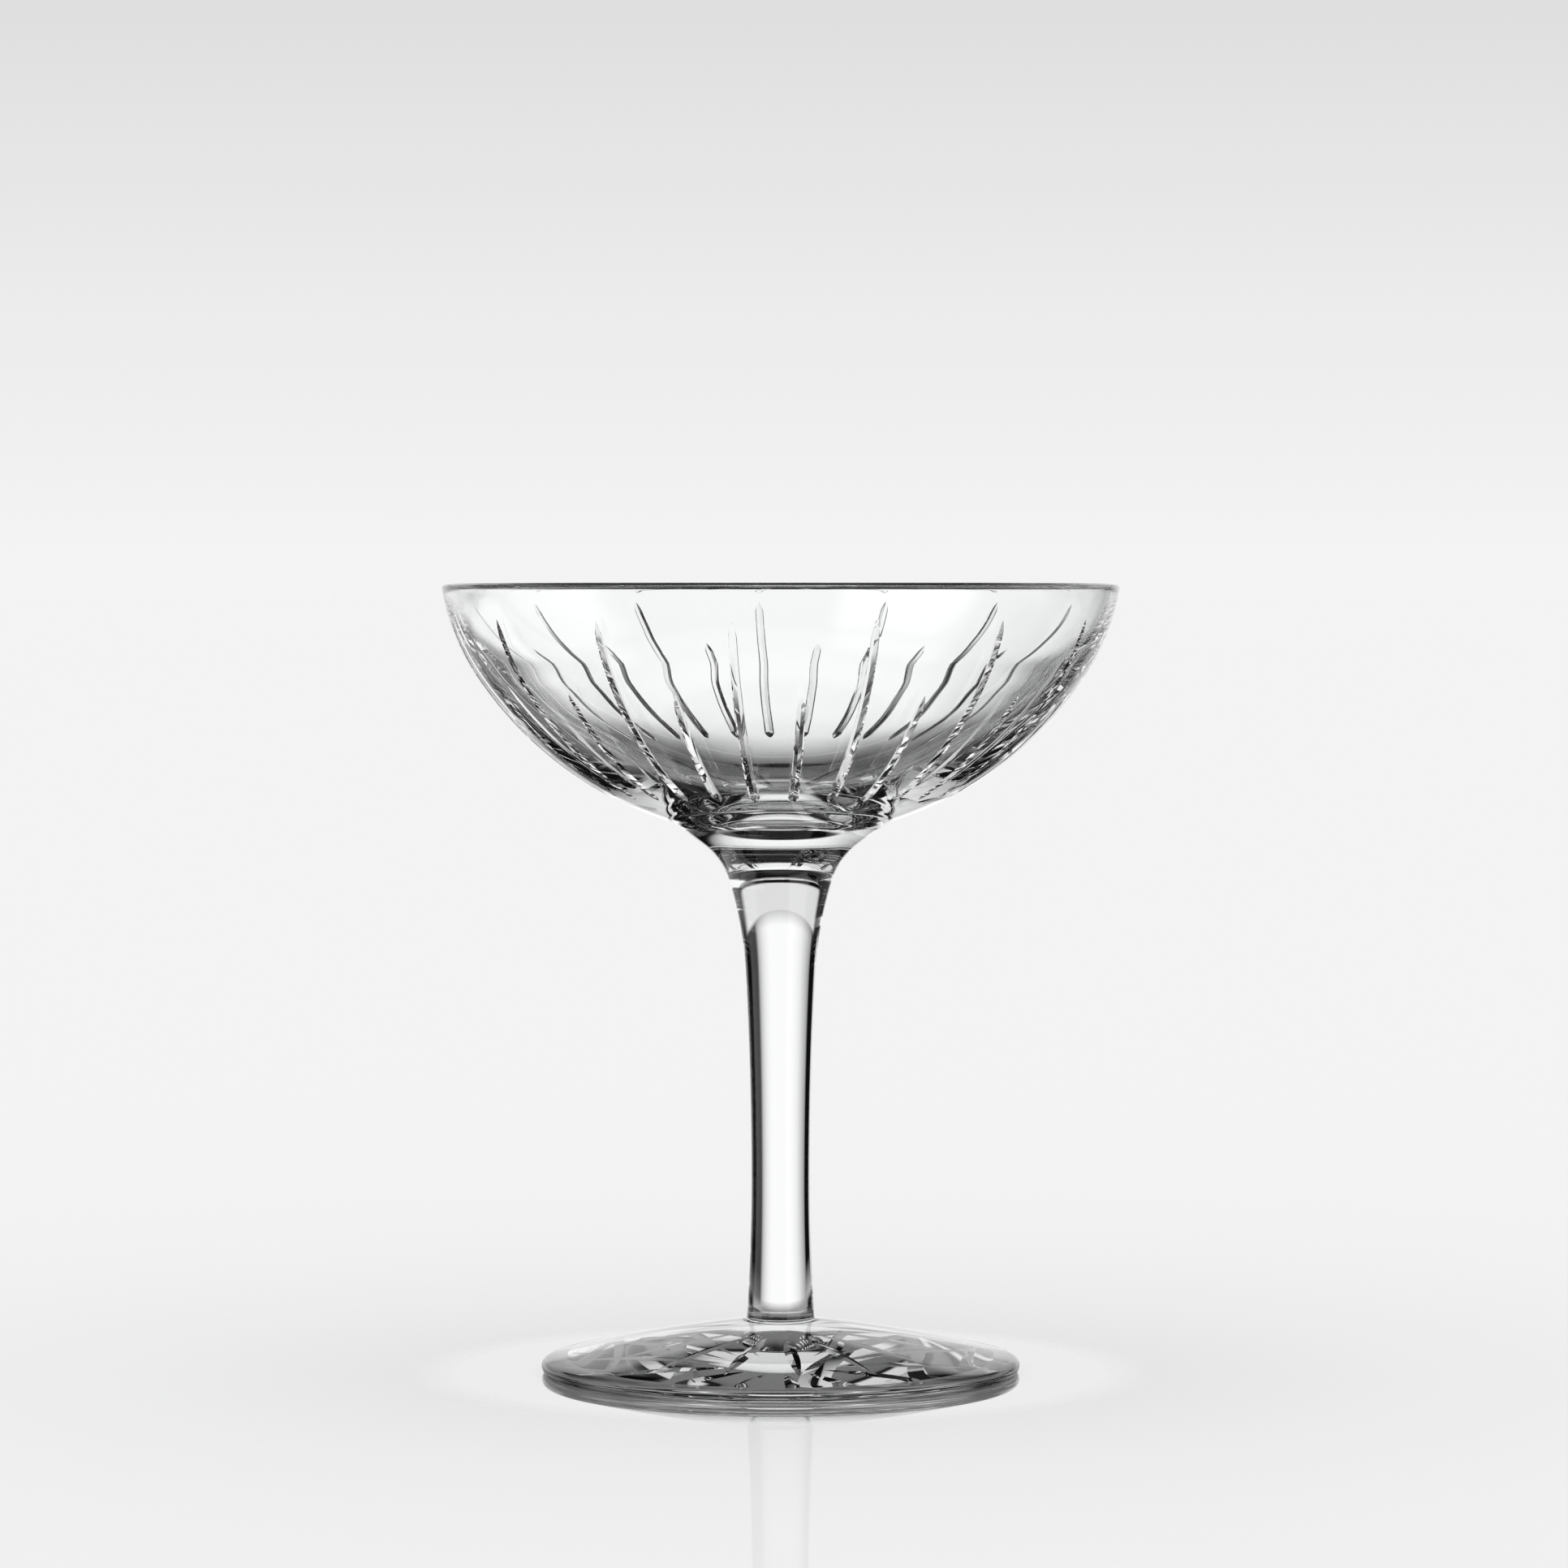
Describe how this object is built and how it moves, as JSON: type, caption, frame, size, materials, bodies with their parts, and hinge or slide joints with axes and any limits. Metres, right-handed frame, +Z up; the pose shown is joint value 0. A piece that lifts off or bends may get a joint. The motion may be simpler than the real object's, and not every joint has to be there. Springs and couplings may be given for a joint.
{
  "type": "coupe glass",
  "caption": "Stemmed coupe glass in clear crystal with a wide shallow bowl, wedge cuts round the outside and a star-cut foot.",
  "frame": {"origin": "on the glass's axis at the height of the table that the foot rests on", "axes": "+Z up along the axis, from the foot to the rim; -Y towards the front, where one long cut of the bowl lies a little to the left"},
  "size_m": [0.12, 0.12, 0.14],
  "materials": {
    "bowl_crystal": "clear crystal, fire-polished, with polished wedge cuts",
    "stem_crystal": "clear crystal, fire-polished",
    "foot_crystal": "clear crystal, polished, with a polished star cut underneath"
  },
  "bodies": {
    "root": {"bowl": "bowl_crystal", "stem": "stem_crystal", "foot": "foot_crystal"}
  },
  "joints": []
}
